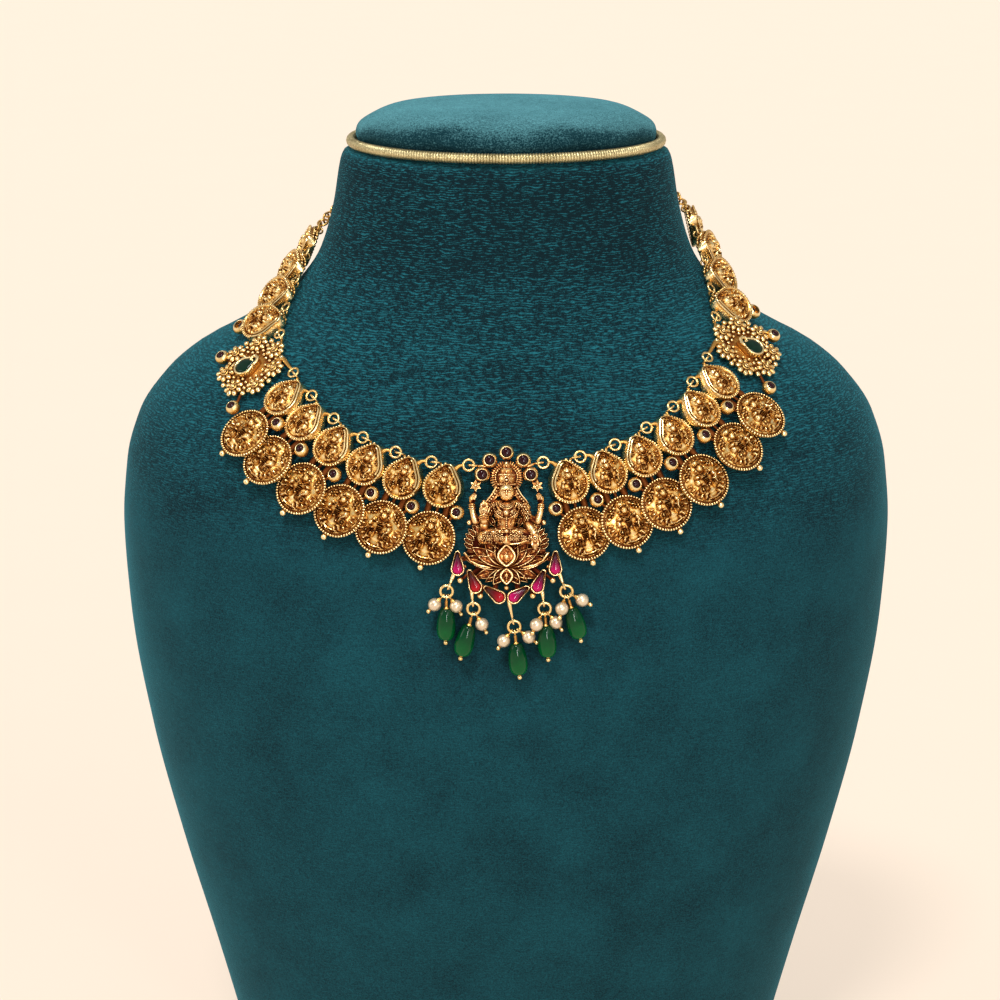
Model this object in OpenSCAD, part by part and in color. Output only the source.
// A cast gold necklace of coin links with a lotus pendant, worn by a velvet neck bust.
// Millimetres. X runs to the viewer's right, Y to the back and Z up from the foot of the bust.

/* [Bust] */
// Half width of the cushion on top of the neck
cushion_w = 48.8; // [46:0.2:49]
// Height of the cushion's dome above the neck
cushion_h = 16; // [12:0.5:20]
// Thickness of the gold trim cord round the cushion
trim_d = 3.4; // [2.4:0.1:3.6]

/* [Loop] */
// How much higher the loop hangs on the viewer's right
lean = 2.7; // [0:0.1:4]
// Distance of the line of rings from the velvet
standoff = 3.6; // [3.4:0.1:4.5]
// Distance between two rings of the coin links
link_pitch = 11.65; // [11.4:0.05:12]
// Distance between two rings of the rear coins
rear_pitch = 12.8; // [12.4:0.1:13]
// Distance between the two rings of a flower panel
panel_pitch = 19.5; // [19:0.5:20]
// Turn of a coin that lets it lie on the one nearer the pendant, in degrees
scale_tilt = 6; // [5:0.5:7]
// Lift of a rear coin's outer edge off the shoulder, in degrees
rear_lift = 3; // [0:1:10]

/* [Coins] */
// Radius of the big round coin
coin_r = 8.6; // [8:0.1:9]
// Thickness of the big coin's rim
rim_t = 1.05; // [0.8:0.05:1.1]
// Radius of the small pear coin
pear_r = 5.8; // [5.4:0.1:6]
// Wall height of the small pear coin's box
box_h = 3.9; // [3:0.1:4.2]
// Outer radius of a garnet's setting
bezel_r = 2.15; // [2:0.05:2.3]

/* [Rings] */
// Radius of a ring to the middle of its wire
ring_r = 1.7; // [1.65:0.05:1.8]
// Radius of the wire of a ring
wire_r = 0.36; // [0.3:0.02:0.38]
// Radius of a hook to the middle of its wire
hook_r = 1.45; // [1.42:0.01:1.48]
// Distance between two links of the back chain
chain_pitch = 2.54; // [2.46:0.02:2.56]

/* [Pendant] */
// Radius of the lotus seat
lotus_r = 13.3; // [12.5:0.1:14]
// Height of the pendant's centre above the foot of the bust
pendant_z = 204.2; // [203:0.1:206]
// Radius of an emerald drop
emerald_r = 2.95; // [2.6:0.05:3]
// Length of an emerald drop
emerald_l = 10.3; // [9:0.1:11]
// Radius of a pearl
pearl_r = 2.05; // [1.8:0.05:2.1]

/* [Hidden] */
$fn = 48;
sides = [-1, 1];
// Coin links and rear coins on each side of the pendant
link_count = 6;
rear_count = 4;

// Sections of the bust: height, half width, front, back, squareness
bust_rows = [
    [0, 91.5, 62, 46, 2.3],
    [40, 101.5, 72, 52, 2.3],
    [80, 112, 80, 56, 2.3],
    [120, 121, 85, 59, 2.3],
    [160, 126.9, 87, 61, 2.3],
    [190, 128.3, 85, 62, 2.3],
    [210, 126.7, 81, 61, 2.25],
    [225, 122.4, 75, 59, 2.2],
    [238, 113.4, 69, 56, 2.1],
    [248, 101.5, 63, 53.5, 2.0],
    [254, 90, 60, 52, 2.0],
    [261, 78, 56, 50, 2.0],
    [270, 67.5, 51.5, 48, 2.0],
    [280, 61, 47, 45, 2.0],
    [295, 56.6, 43, 42.5, 2.0],
    [309, 54.2, 40.5, 40.5, 2.0],
    [312, 53, 39.3, 39.3, 2.0],
    [313.5, 50, 36.5, 36.5, 2.0],
];
bust_h = 313.5;
bust_sides = 56;
bust_step = 9;

// Height of the line of rings by its angle from the front
loop_rows = [
    [0, 226.4], [12, 226.9], [24, 230.3], [36, 237], [48, 246.7], [56, 253.2], [64, 259.1],
    [69, 263.5], [76, 269.6], [86, 279.2], [110, 292], [140, 293.5], [180, 293.5],
];

// Length along the loop from the middle of the front to the first ring, left and right
loop_start = [11.7, 11.4];
// Outward turn of each coin link about its rings, left and right, in degrees
link_turn = [[11, 9.5, 7, 5, 0, -1.5], [8, 3, -1, -4, -6, -4.5]];
// Lift of each coin link's foot off the shoulder, in degrees
link_lift = [0, 0, 0, 0.8, 3.3, 2.9];
// Outward turn of each rear coin about its rings, in degrees
rear_turn = [11, 16, 20, 24];

// Places on a coin link, down from its line of rings
pear_y = -7.9;
coin_y = -23.9;
garnet_at = [6.4, -14];
link_reach = 33;
rear_reach = 15;

// The flower panel: its middle, its ring of flowers and its two garnets, outward and up
panel_mid = [2.4, -12.2];
panel_reach = 24;
flower_count = 7;
flower_ring = 9.2;
flower_turn = 82;
panel_garnets = [[-10.9, -22.2], [12.8, -20.3]];

// Pendant settings: garnets round the halo
halo_at = [0, 19];
halo_garnets = [[0, 26.7], [-5.2, 24.3], [5.2, 24.3], [-7.5, 19.8], [7.5, 19.8]];
// Rubies below the lotus: across, up, turn of the point
rubies = [
    [-15.1, -7.4, 0], [-10.3, -13, 22], [-3.9, -16.9, 55],
    [3.9, -16.9, -55], [10.3, -13, -22], [15.1, -7.4, 0],
];
// Drops: stem root across and up, ring across and up, swing of the emerald, and of each pearl
// sideways and forward, in degrees
drops = [
    [-16, -10.3, -18.5, -15.9, -1, [[-41, 0], [31, 0]]],
    [-10.8, -16, -10.2, -21.5, -14, [[27, 0]]],
    [0.6, -18.5, 2.4, -27.4, 6, [[-35, 0], [53, 0]]],
    [11, -16, 11.8, -21.5, 4, [[-28, 24], [38, 0]]],
    [16.2, -10.3, 18.5, -15.9, 16, [[-15, 26], [60, 0]]],
];
jump_r = 1.9;
jump_wire = 0.45;
pin_r = 0.22;
drill_r = 0.36;

// Smooth curve through the rows of a table, read at x in one of its columns
function last_row(t, x) = max([for (i = [0:len(t) - 2]) if (i == 0 || x >= t[i][0]) i]);
function chord(t, c, i) = (t[i + 1][c] - t[i][c]) / (t[i + 1][0] - t[i][0]);
function slope(t, c, i) =
    i == 0 ? chord(t, c, 0)
    : i == len(t) - 1 ? chord(t, c, i - 1)
    : let (a = chord(t, c, i - 1), b = chord(t, c, i)) a * b <= 0 ? 0 : 2 * a * b / (a + b);
function hermite(s, h, y0, m0, y1, m1) =
    (2 * s ^ 3 - 3 * s ^ 2 + 1) * y0 + (s ^ 3 - 2 * s ^ 2 + s) * h * m0
    + (3 * s ^ 2 - 2 * s ^ 3) * y1 + (s ^ 3 - s ^ 2) * h * m1;
function smooth_at(t, c, x) =
    let (i = last_row(t, x), h = t[i + 1][0] - t[i][0], s = min(max((x - t[i][0]) / h, 0), 1))
    hermite(s, h, t[i][c], slope(t, c, i), t[i + 1][c], slope(t, c, i + 1));

// A point on the velvet, or off it, by angle from the front and height
function oval(az, half, depth, square) =
    (abs(sin(az) / half) ^ square + abs(cos(az) / depth) ^ square) ^ (-1 / square);
function bust_radius(az, z) = oval(az, smooth_at(bust_rows, 1, z),
    smooth_at(bust_rows, cos(az) > 0 ? 2 : 3, z), smooth_at(bust_rows, 4, z));
function around(az, r, z) = [r * sin(az), -r * cos(az), z];
function bust_pt(az, z, off = 0) = around(az, bust_radius(az, z) + off, z);
function angle_of(p) = atan2(p.x, -p.y);

// The loop: where the rings lie, by angle and by length from the middle of the front
function loop_pt(az) =
    bust_pt(az, smooth_at(loop_rows, 1, abs(az)) + lean * sin(az), standoff);
function arc_rows(side, step = 2) = [
    for (
        az = 0, s = 0;
        az <= 180;
        s = s + norm(loop_pt(side * (az + step)) - loop_pt(side * az)), az = az + step
    ) [s, az]
];
arc_left = arc_rows(-1);
arc_right = arc_rows(1);
function arc_of(side) = side > 0 ? arc_right : arc_left;
function loop_at(side, s) = loop_pt(side * lookup(s, arc_of(side)));
function half_loop(side) = arc_of(side)[len(arc_left) - 1][0];
function ring_s(side, k) = loop_start[side > 0 ? 1 : 0] + k * link_pitch;
function panel_s(side) = ring_s(side, link_count);
function rear_s(side, k) = panel_s(side) + panel_pitch + k * rear_pitch;
function chain_s(side, k) = rear_s(side, rear_count) + k * chain_pitch;

// Frames as [right, up, out, origin]: a link that spans the loop from s0 to s1 and lies down
// the velvet as far as reach, lifted off it by an angle
function unit(v) = v / norm(v);
function square_to(axis, v) = v - axis * (v * axis);
function drape(o, d, reach, n = 3) =
    n == 0 ? d
    : let (q = o + d * reach)
    drape(o, unit(bust_pt(angle_of(q), q.z, standoff) - o), reach, n - 1);
function frame_of(o, right, down) =
    let (out = unit(cross(right, -down))) [cross(-down, out), -down, out, o];
function raised(f, lift) =
    let (down = f[2] * sin(lift) - f[1] * cos(lift)) frame_of(f[3], f[0], down);
function link_seat(side, s0, s1, reach, lift = 0) =
    let (
        p = loop_at(side, s0),
        q = loop_at(side, s1),
        o = (p + q) / 2,
        right = side * unit(q - p),
        foot = bust_pt(angle_of(o), o.z - 0.7 * reach, standoff) - o,
        down = drape(o, unit(square_to(right, foot)), reach)
    )
    raised(frame_of(o, right, unit(square_to(right, down))), lift);
function coin_seat(side, k) =
    link_seat(side, ring_s(side, k), ring_s(side, k + 1), link_reach, link_lift[k]);
function coin_turn(side, k) = side * link_turn[side > 0 ? 1 : 0][k];
function panel_seat(side) =
    link_seat(side, panel_s(side), panel_s(side) + panel_pitch, panel_reach);
function rear_seat(side, k) =
    link_seat(side, rear_s(side, k), rear_s(side, k + 1), rear_reach, rear_lift);
function chain_seat(side, s) =
    let (
        p = loop_at(side, s),
        right = side * unit(loop_at(side, s + 1) - loop_at(side, s - 1)),
        out = cross(right, [0, 0, 1])
    )
    frame_of(p, right, unit(cross(right, out)));
function place(f, p) = f[3] + f[0] * p.x + f[1] * p.y + f[2] * p.z;

// The pendant lies against the chest between these two heights
pendant_rise = 25;
pendant_drop = 18;
function chest(z) = bust_pt(0, z);
pendant_up = unit(chest(pendant_z + pendant_rise) - chest(pendant_z - pendant_drop));
pendant_gap = 0.75;
pendant_seat = frame_of(chest(pendant_z) - [0, pendant_gap, 0], [1, 0, 0], -pendant_up);

module at(f) {
    multmatrix([for (i = [0:2]) [f[0][i], f[1][i], f[2][i], f[3][i]]]) children();
}

// Plain shapes
module rod(p, q, r, r2 = undef) {
    d = q - p;
    translate(p) rotate([0, acos(d.z / norm(d)), atan2(d.y, d.x)])
        cylinder(r1 = r, r2 = is_undef(r2) ? r : r2, h = norm(d));
}

module ball(p, r) {
    translate(p) sphere(r);
}

module wire_ring(r, wire) {
    rotate_extrude() translate([r, 0]) circle(wire, $fn = 24);
}

// Outline of a pear: a big circle at the origin and a small one at height d above it
function pear(r, tip, d, n = 8) =
    let (a = asin((r - tip) / d)) concat(
        [for (i = [0:2 * n]) let (t = 180 - a + i * (180 + 2 * a) / (2 * n)) r * [cos(t), sin(t)]],
        [for (i = [0:n]) let (t = a + i * (180 - 2 * a) / n) [0, d] + tip * [cos(t), sin(t)]]);

module pear_prism(r, tip, d, h, n = 8) {
    linear_extrude(h) polygon(pear(r, tip, d, n));
}

// Half outline of a standing drop, point up, for turning round its axis
function half_pear(r, tip, d, n = 7) =
    let (a = asin((r - tip) / d)) concat(
        [for (i = [0:n]) let (t = -90 + i * (90 + a) / n) r * [cos(t), sin(t)]],
        [for (i = [0:n]) let (t = a + i * (90 - a) / n) [0, d] + tip * [cos(t), sin(t)]]);

// Solid between oval sections of the bust's kind
module loft(rows, heights, sides_n) {
    ring = [
        for (z = heights) [
            for (i = [0:sides_n - 1])
            let (
                az = i * 360 / sides_n,
                r = oval(az, smooth_at(rows, 1, z),
                    smooth_at(rows, cos(az) > 0 ? 2 : 3, z), smooth_at(rows, 4, z))
            )
            around(az, r, z)
        ]
    ];
    last = len(heights) - 1;
    walls = [
        for (j = [0:last - 1]) for (i = [0:sides_n - 1])
        let (k = (i + 1) % sides_n, a = j * sides_n)
        [a + i, a + sides_n + i, a + sides_n + k, a + k]
    ];
    foot = [for (i = [0:sides_n - 1]) i];
    top = [for (i = [sides_n - 1:-1:0]) last * sides_n + i];
    polyhedron([for (r = ring) each r], concat(walls, [foot, top]));
}

// The bust
module bust_body() {
    heights = concat(
        [for (z = [0:2 * bust_step:198]) z],
        [for (z = [205:bust_step * 0.7:bust_h - 6]) z],
        [309, 312, bust_h]);
    color("teal") loft(bust_rows, heights, bust_sides);
}

neck_ratio = 0.78;
cushion_z = bust_h + 0.3;
cushion_edge = 7;
module bust_cushion() {
    flat_r = cushion_w - 2.4;
    rows = [
        for (p = [
            [0, flat_r], [0.2, cushion_w - 0.8], [0.42, cushion_w], [0.6, cushion_w - 2],
            [0.8, cushion_w * 0.8], [0.93, cushion_w * 0.52], [1, cushion_w * 0.16],
        ])
        [cushion_z + p[0] * cushion_h, p[1], p[1] * neck_ratio, p[1] * neck_ratio, 2]
    ];
    heights = [for (i = [0:12]) cushion_z + cushion_h * sin(i * 90 / 12)];
    color("cadetblue") loft(rows, heights, 40);
}

module bust_trim() {
    color("darkkhaki") translate([0, 0, bust_h + trim_d / 2 + 0.1]) scale([1, neck_ratio, 1])
        rotate_extrude($fn = 56) translate([cushion_w + trim_d / 2 + 0.1, 0])
            circle(trim_d / 2, $fn = 10);
}

// A round setting with a hole for its stone, foot at height 0
bezel_h = 3.2;
stone_r = 1.25;
seat_h = 1.5;
stone_gap = 0.1;
module bezel(r = bezel_r, stone = stone_r) {
    rotate_extrude() polygon([
        [0, 0], [r - 0.45, 0], [r, 0.8], [r, bezel_h - 0.7], [r - 0.35, bezel_h],
        [stone + 0.2, bezel_h], [stone + stone_gap, bezel_h - 0.3],
        [stone + stone_gap, seat_h], [0, seat_h],
    ]);
}

module cabochon(r = stone_r) {
    lift = seat_h + stone_gap;
    rotate_extrude() polygon(concat(
        [[0, lift], [r, lift]],
        [for (i = [0:6]) [r * cos(i * 15), bezel_h - 0.5 + 0.7 * sin(i * 15)]]));
}

// The ring towards the pendant and the hook through the next ring, with their arms
hook_wire = wire_r - 0.03;
module ring_and_hook(side, span) {
    near = -side * span / 2;
    translate([near, 0, 0]) wire_ring(ring_r, wire_r);
    rod([near + side * ring_r, -0.1, 0], [-side * 1.1, -3.2, -0.2], 0.5);
    translate([side * (span / 2 - hook_r), 0, 0]) rotate([90, 0, 0])
        wire_ring(hook_r, hook_wire);
    rod([side * (span / 2 - 2 * hook_r), 0, 0], [side * 1.6, -2.4, -0.2], hook_wire, 0.5);
}

// The small pear coin: a box with a raised border and a seated figure
box_back = -1.5;
border = 0.8;
tip_r = 2.3;
tip_d = 5.4;
module pear_coin() {
    floor_z = box_h - 1.1;
    translate([0, 0, box_back]) {
        difference() {
            pear_prism(pear_r, tip_r, tip_d, box_h, 10);
            translate([0, 0, floor_z]) pear_prism(pear_r - border, tip_r - border, tip_d, 2, 10);
        }
        ball([0, 3, floor_z + 0.5], 1.15);
        rod([0, 3.6, floor_z + 0.4], [0, 5.4, floor_z + 0.3], 0.85, 0.4);
        ball([0, 0.2, floor_z + 0.1], 1.7);
        for (s = sides) {
            ball([s * 2.3, -2, floor_z + 0.1], 1.35);
            ball([s * 2.3, 1, floor_z + 0.1], 0.8);
        }
        rod([-3.6, -3.6, floor_z], [3.6, -3.6, floor_z], 0.75);
    }
}

// The big round coin: a domed disc with a seated figure, face up
module round_coin() {
    coin_back = -0.9;
    translate([0, 0, coin_back]) {
        rotate_extrude($fn = 64) polygon([
            [0, 0], [coin_r, 0], [coin_r, rim_t], [coin_r - 0.9, rim_t], [coin_r - 1.1, rim_t - 0.3],
            [coin_r - 2.6, rim_t + 0.1], [coin_r - 5, rim_t + 0.75], [0, rim_t + 1.1],
        ]);
        ball([0, 3.5, rim_t + 1], 1.5);
        rod([0, 4.2, rim_t + 0.8], [0, 6.4, rim_t + 0.2], 1.1, 0.6);
        ball([0, 0.3, rim_t + 0.5], 2.2);
        for (s = sides) {
            ball([s * 3, -2.3, rim_t + 0.3], 1.6);
            ball([s * 2.9, 1.6, rim_t + 0.5], 0.9);
        }
        rod([-3.9, -4.6, rim_t + 0.1], [3.9, -4.6, rim_t + 0.1], 0.8);
        ball([0, -coin_r - 0.85, 0.5], 1.05);
    }
}

// A coin link: pear coin, garnet setting and round coin soldered together
module coin_link(side, k) {
    garnet = [-side * garnet_at.x, garnet_at.y, box_back];
    color("goldenrod") at(coin_seat(side, k)) {
        ring_and_hook(side, link_pitch);
        rotate([0, side * scale_tilt, coin_turn(side, k)]) {
            translate([0, pear_y, 0]) pear_coin();
            translate([0, coin_y, 0]) round_coin();
            rod([0, pear_y - pear_r + 1, -0.3], [0, coin_y + coin_r - 1, -0.3], 0.8);
            translate(garnet) bezel();
            rod(garnet + [0, 0, 0.9], [-side * 3, pear_y - 3, -0.3], 0.5);
            rod(garnet + [0, 0, 0.9], [-side * 4, coin_y + coin_r - 2.4, -0.3], 0.45);
        }
    }
}

// A rear coin: the pear coin alone, the first one with a garnet at its foot
rear_garnet_y = pear_y - pear_r - 1.9;
module rear_coin(side, k) {
    color("goldenrod") at(rear_seat(side, k)) {
        ring_and_hook(side, rear_pitch);
        rotate(side * rear_turn[k]) {
            translate([0, pear_y, 0]) pear_coin();
            if (k == 0) translate([0, rear_garnet_y, box_back]) bezel();
        }
    }
}

// The flower panel: seven flowers and beads round a paisley setting, with two garnets, of
// which one takes the place of a bead
panel_back = -1.3;
plate_t = 1.2;
garnet_flower = 2;
function flower_pt(side, k, r = flower_ring) =
    let (t = flower_turn - k * 360 / flower_count) [side * r * cos(t), r * sin(t), 0];
module flower() {
    cylinder(r = 2.2, h = plate_t + 0.6);
    for (i = [0:6]) ball([2.3 * cos(i * 360 / 7), 2.3 * sin(i * 360 / 7), plate_t + 0.4], 0.95);
    ball([0, 0, plate_t + 1.3], 0.85);
}

paisley_r = 3.6;
paisley_tip = 1.5;
paisley_d = 3.9;
paisley_h = 3.6;
paisley_wall = 0.7;
paisley_seat = 2.2;
module panel(side) {
    color("gold") at(panel_seat(side)) {
        ring_and_hook(side, panel_pitch);
        for (s = sides) rod([s * 1.5, -2.3, -0.2], [s * 2.5, -6, -0.4], 0.6);
        translate([side * panel_mid.x, panel_mid.y, panel_back]) {
            cylinder(r = flower_ring, h = plate_t);
            for (k = [0:flower_count - 1]) {
                translate(flower_pt(side, k)) flower();
                if (k != garnet_flower) {
                    bead = flower_pt(side, k + 0.5, flower_ring + 1.6) + [0, 0, plate_t];
                    ball(bead, 0.9);
                    rod(flower_pt(side, k + 0.5, flower_ring - 1) + [0, 0, plate_t / 2], bead, 0.4);
                }
            }
            translate([0, -paisley_d / 2, 0]) difference() {
                pear_prism(paisley_r, paisley_tip, paisley_d, paisley_h);
                translate([0, 0, paisley_seat]) pear_prism(paisley_r - paisley_wall,
                    paisley_tip - paisley_wall, paisley_d, paisley_h);
            }
        }
        for (g = panel_garnets) {
            foot = [side * g.x, g.y, panel_back];
            middle = [side * panel_mid.x, panel_mid.y, panel_back];
            translate(foot) bezel();
            rod(foot + [0, 0, 0.6], foot + (middle - foot) * 0.45 + [0, 0, 0.6], 0.5);
        }
    }
}

module panel_stone(side) {
    inset = paisley_wall + stone_gap;
    foot_z = panel_back + paisley_seat + stone_gap;
    color("darkgreen") at(panel_seat(side))
        translate([side * panel_mid.x, panel_mid.y - paisley_d / 2, foot_z])
        pear_prism(paisley_r - inset, paisley_tip - inset, paisley_d, 0.9);
}

// The garnets of one side: coin links, panel and first rear coin
module garnets(side) {
    color("darkred") {
        for (k = [0:link_count - 1]) at(coin_seat(side, k))
            rotate([0, side * scale_tilt, coin_turn(side, k)])
            translate([-side * garnet_at.x, garnet_at.y, box_back]) cabochon();
        at(panel_seat(side)) for (g = panel_garnets)
            translate([side * g.x, g.y, panel_back]) cabochon();
        at(rear_seat(side, 0)) rotate(side * rear_turn[0])
            translate([0, rear_garnet_y, box_back]) cabochon();
    }
}

// Lotus seat of the pendant: a half disc under two rows of rimmed petals
function petal(length, width, n = 7) = concat(
    [for (i = [0:n]) [length * i / n, width / 2 * sin(180 * i / n)]],
    [for (i = [n - 1:-1:1]) [length * i / n, -width / 2 * sin(180 * i / n)]]);
module rimmed_petal(angle, length, width, top) {
    translate([0, -8.8, 0]) rotate(angle) difference() {
        linear_extrude(top) polygon(petal(length, width));
        translate([0.9, 0, top - 0.45]) linear_extrude(1)
            polygon(petal(length - 1.8, width - 1.5));
    }
}

module lotus_seat() {
    lotus_mid = [0, -1];
    translate([lotus_mid.x, lotus_mid.y, 0]) difference() {
        cylinder(r = lotus_r, h = 1.7);
        translate([-20, 2, -1]) cube([40, 20, 4]);
    }
    for (s = sides) {
        rimmed_petal(90 + s * 77, 13.6, 5, 2.2);
        rimmed_petal(90 + s * 60, 12.2, 5, 2.45);
        rimmed_petal(90 + s * 41, 10, 4.8, 2.7);
        rimmed_petal(90 + s * 21, 8.4, 4.6, 2.95);
        rimmed_petal(-90 + s * 72, 10.2, 3.8, 2);
        rimmed_petal(-90 + s * 38, 6.6, 3.6, 2.55);
    }
    rimmed_petal(90, 7.4, 5, 3.3);
    rimmed_petal(-90, 5.4, 4, 2.9);
    translate([0, -8.8, 0]) cylinder(r = 0.8, h = 3.1);
}

// The seated figure, in the pendant's frame
module figure() {
    waist = [0, 1.2, 3.1];
    chest_at = [0, 8.8, 3.6];
    rod(waist, chest_at, 3, 3.7);
    rod([-5.2, 9.9, 2.4], [5.2, 9.9, 2.4], 1.8);
    rod([0, 9, 3], [0, 13.5, 3], 1.2);
    ball([0, 14.7, 3.5], 2.35);
    rod([0, 16.2, 3], [0, 17.4, 3], 2.5);
    rod([0, 17.4, 3], [0, 21.8, 2.6], 2.2, 1.3);
    ball([0, 22.3, 2.5], 1.25);
    for (s = sides) {
        knee = [s * 7.2, 0.1, 3.2];
        elbow = [s * 6.6, 4.6, 3.2];
        rear_elbow = [s * 9.4, 5.2, 1.8];
        wrist = [s * 10.6, 10.6, 1.9];
        ball([s * 1.9, 7.7, 4.9], 1.9);
        ball([s * 5.4, 9.9, 2.5], 2.1);
        ball(knee, 2.3);
        rod(knee, [-s * 1.5, -1.3, 4], 2, 1.5);
        rod([s * 5.4, 9.9, 2.5], elbow, 1.4, 1.2);
        ball(elbow, 1.4);
        rod([s * 5, 8.6, 1.8], rear_elbow, 1.3, 1.1);
        ball(rear_elbow, 1.35);
        rod(rear_elbow, wrist, 1.2, 0.95);
        rod(rear_elbow, [s * 8.8, 0, 1.2], 0.8);
        rod(wrist, [s * 10.2, 13.4, 2], 1.3, 0.9);
        rod([s * 10.2, 13, 2], [s * 9.6, 16, 2], 0.5);
        rod([s * 9.8, 15, 2], [s * 9.5, 17.4, 2], 0.5, 1.7);
        rod([s * 2.3, 15.4, 2.2], [s * 6, 9.4, 1.9], 1.3, 1);
        ball([s * 11.5, 5, 1.6], 0.9);
    }
    raised_palm = [-7, 8.8, 5];
    rod([-6.6, 4.6, 3.2], raised_palm, 1.2, 0.9);
    ball(raised_palm, 1.4);
    giving_palm = [8.8, -0.6, 5];
    rod([6.6, 4.6, 3.2], giving_palm, 1.2, 0.9);
    ball(giving_palm, 1.3);
}

// The halo behind the head, with five garnet settings round it
module halo() {
    translate([halo_at.x, halo_at.y, 0.3]) {
        cylinder(r = 4.9, h = 1.3);
        translate([0, 0, 1.3]) wire_ring(4.9, 0.55);
    }
    rod([0, 12, 1], [0, 16, 1], 1);
    for (g = halo_garnets) translate([g.x, g.y, 0.3]) bezel(2.4, 1.5);
}

// The pear settings below the lotus, with beads between them
ruby_r = 2.15;
ruby_tip = 0.75;
ruby_d = 5.1;
ruby_wall = 0.5;
ruby_seat = 1.9;
ruby_h = 3;
ruby_base = 0.2;
module at_ruby(r) {
    translate([r[0], r[1], ruby_base]) rotate(r[2]) translate([0, -ruby_d / 2 + 0.6, 0]) children();
}
module ruby_settings() {
    for (r = rubies) at_ruby(r) difference() {
        pear_prism(ruby_r, ruby_tip, ruby_d, ruby_h, 6);
        translate([0, 0, ruby_seat])
            pear_prism(ruby_r - ruby_wall, ruby_tip - ruby_wall, ruby_d, ruby_h, 6);
    }
    for (s = sides) {
        ball([s * 14.3, -12.9, 1.4], 0.95);
        rod([s * 14.3, -12.9, 1.2], [s * 12.2, -11.2, 1.2], 0.5);
        ball([s * 8.1, -17.6, 1.4], 0.95);
        rod([s * 8.1, -17.6, 1.2], [s * 7.2, -14.6, 1.2], 0.5);
        rod([s * 14.9, -6.5, 0.9], [s * 10, -5.5, 0.9], 0.8);
        rod([s * 10.5, -11, 0.9], [s * 7, -8, 0.9], 0.8);
        rod([s * 3.6, -16.5, 0.9], [s * 3, -12, 0.9], 0.8);
    }
    rod([-3.2, -17.6, 1.2], [3.2, -17.6, 1.2], 0.7);
}

// A drop's ring hangs upright, so that its emerald just clears the velvet
function front_y(x, z) =
    -smooth_at(bust_rows, 2, z)
    * (1 - (abs(x) / smooth_at(bust_rows, 1, z)) ^ smooth_at(bust_rows, 4, z))
        ^ (1 / smooth_at(bust_rows, 4, z));
function drop_ring(d) =
    let (p = place(pendant_seat, [d[2], d[3], 0])) [p.x, front_y(p.x, p.z - 10) - emerald_r - 0.35, p.z];
module at_drop(d) {
    translate(drop_ring(d)) rotate([90, 0, 0]) children();
}
stem_loop_r = 1.05;
module drop_stem(d) {
    root = place(pendant_seat, [d[0], d[1], 1.4]);
    ring = drop_ring(d);
    lean_to = unit([root.x - ring.x, 0, root.z - ring.z]);
    eye = ring + lean_to * jump_r;
    side_angle = atan2(lean_to.x, lean_to.z);
    translate(eye) rotate([0, side_angle, 0]) rotate([0, 90, 0]) wire_ring(stem_loop_r, 0.33);
    rod(root, eye + lean_to * stem_loop_r, 0.55, 0.4);
}

module pendant() {
    color("darkgoldenrod") {
        at(pendant_seat) {
            lotus_seat();
            figure();
            halo();
            ruby_settings();
        }
        for (d = drops) drop_stem(d);
        for (s = sides) {
            seat = coin_seat(s, 0);
            hook_at = [-s * (link_pitch / 2 + hook_r), 0, 0];
            at(seat) translate(hook_at) rotate([90, 0, 0]) wire_ring(hook_r, hook_wire);
            rod(place(seat, hook_at - [s * hook_r, 0, 0]),
                place(pendant_seat, [s * 6.6, 22.3, 1.4]), 0.5);
        }
    }
}

module pendant_garnets() {
    color("darkred") at(pendant_seat) for (g = halo_garnets) translate([g.x, g.y, 0.3]) cabochon(1.5);
}

// A ruby: a pear with a flat table and a ring of facets
module ruby(k) {
    inset = ruby_wall + stone_gap;
    girdle = 0.5;
    table_in = 0.55;
    table_z = 1.3;
    color("crimson") at(pendant_seat) at_ruby(rubies[k])
        translate([0, 0, ruby_seat + stone_gap]) hull() {
            pear_prism(ruby_r - inset, ruby_tip - inset, ruby_d, girdle, 6);
            pear_prism(ruby_r - ruby_wall - table_in, 0.1, ruby_d - 0.9, table_z, 6);
        }
}

// What hangs from a drop's ring: a pin through each stone, by angle, neck and stone length
emerald_neck = 3.6;
pearl_neck = 1.75;
eye_r = 0.86;
module on_ring(angle, forward = 0) {
    rotate(angle) translate([0, -jump_r, 0]) rotate([-forward, 0, 0]) children();
}
module pin(neck, stone_l, tip) {
    rotate([0, 90, 0]) wire_ring(eye_r, pin_r);
    rod([0, -eye_r, 0], [0, -neck - stone_l - 0.3, 0], pin_r);
    rod([0, -eye_r - 0.1, 0], [0, -neck + 0.12, 0], 0.48);
    ball([0, -neck - stone_l - tip - 0.1, 0], tip);
}
module drop_wires(k) {
    d = drops[k];
    color("gold") at_drop(d) {
        wire_ring(jump_r, jump_wire);
        on_ring(d[4]) pin(emerald_neck, emerald_l, 0.8);
        for (a = d[5]) on_ring(a[0], a[1]) pin(pearl_neck, 2 * pearl_r, 0.75);
    }
}
module emerald(k) {
    d = drops[k];
    tip = 0.8;
    color("green") at_drop(d) on_ring(d[4]) translate([0, -emerald_neck - emerald_l + emerald_r, 0])
        rotate([-90, 0, 0]) difference() {
            rotate_extrude() polygon(half_pear(emerald_r, tip, emerald_l - emerald_r - tip));
            translate([0, 0, -20]) cylinder(r = drill_r, h = 40);
        }
}
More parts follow.
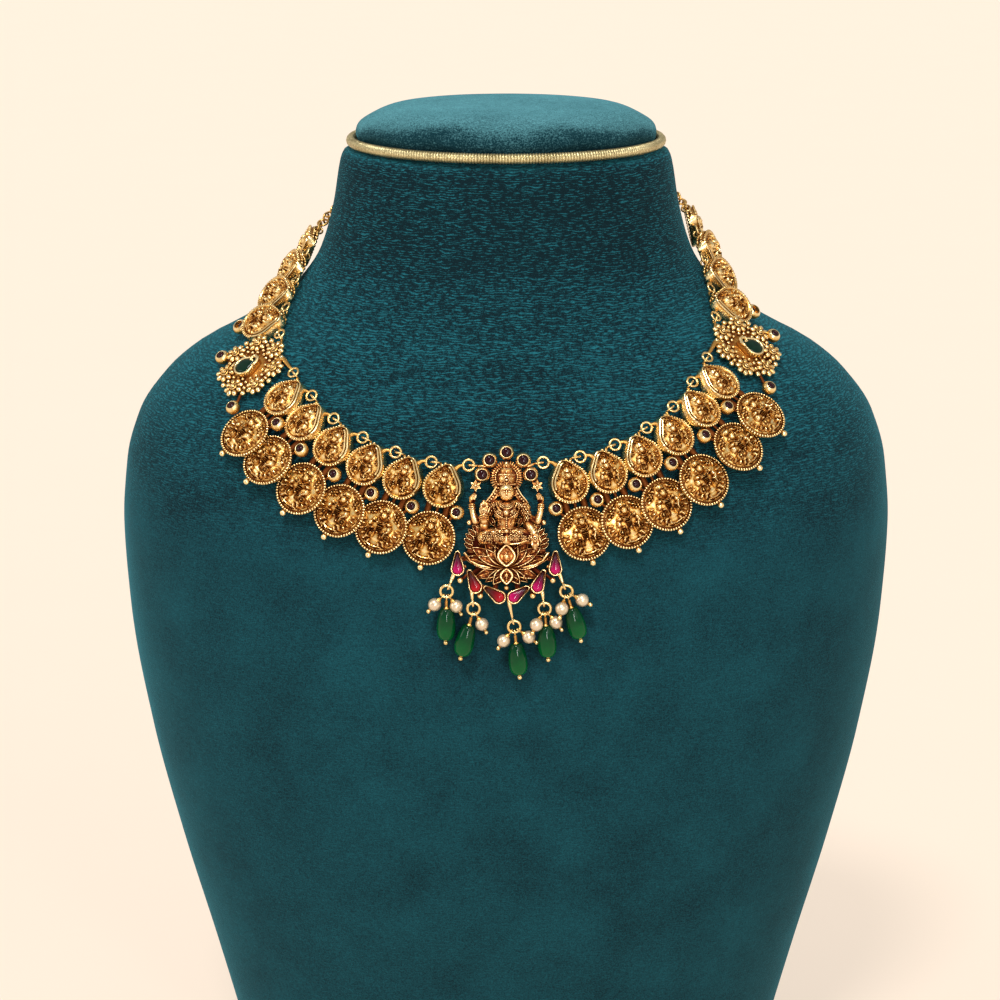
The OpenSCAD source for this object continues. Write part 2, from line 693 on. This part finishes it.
module pearls(k) {
    d = drops[k];
    color("ivory") at_drop(d) for (a = d[5]) on_ring(a[0], a[1])
        translate([0, -pearl_neck - pearl_r, 0]) rotate([90, 0, 0]) difference() {
            sphere(pearl_r);
            translate([0, 0, -5]) cylinder(r = drill_r, h = 10);
        }
}

// The back: round links on each side, turned by turns, and a plain hook between them
clasp_half = 6.2;
clasp_wire = 0.36;
function chain_count(side) =
    floor((half_loop(side) - rear_s(side, rear_count) - clasp_half) / chain_pitch);
function first_ring(side) =
    let (f = rear_seat(side, rear_count - 1), c = chain_seat(side, chain_s(side, 0)))
    frame_of(place(f, [side * rear_pitch / 2, 0, 0]), f[0], -unit(f[1] + c[1]));
module back_chain() {
    color("goldenrod") for (side = sides) {
        at(first_ring(side)) wire_ring(ring_r, wire_r);
        for (k = [1:chain_count(side)]) at(chain_seat(side, chain_s(side, k)))
            rotate([k % 2 * 90, 0, 0]) wire_ring(ring_r, wire_r);
    }
}
function clasp_s(side) = chain_s(side, chain_count(side) + 1);
function clasp_turn(side) = (chain_count(side) + 1) % 2 * 90;
module hook_clasp() {
    eye = chain_seat(-1, clasp_s(-1));
    bend = chain_seat(1, clasp_s(1));
    color("goldenrod") {
        at(eye) rotate([clasp_turn(-1), 0, 0]) wire_ring(ring_r, clasp_wire);
        at(bend) rotate([clasp_turn(1), 0, 0]) rotate(-90) rotate_extrude(angle = 300)
            translate([ring_r, 0]) circle(clasp_wire);
        rod(place(eye, [-ring_r, 0, 0]), place(bend, [ring_r, 0, 0]), 0.5);
    }
}

bust_body();
bust_cushion();
bust_trim();
pendant();
pendant_garnets();
for (k = [0:5]) ruby(k);
for (k = [0:4]) {
    drop_wires(k);
    emerald(k);
    pearls(k);
}
for (k = [0:link_count - 1]) {
    coin_link(-1, k);
    coin_link(1, k);
}
garnets(-1);  // garnets_left
garnets(1);  // garnets_right
panel(-1);  // panel_left
panel(1);  // panel_right
panel_stone(-1);  // panel_stone_left
panel_stone(1);  // panel_stone_right
for (k = [0:rear_count - 1]) {
    rear_coin(-1, k);
    rear_coin(1, k);
}
back_chain();
hook_clasp();
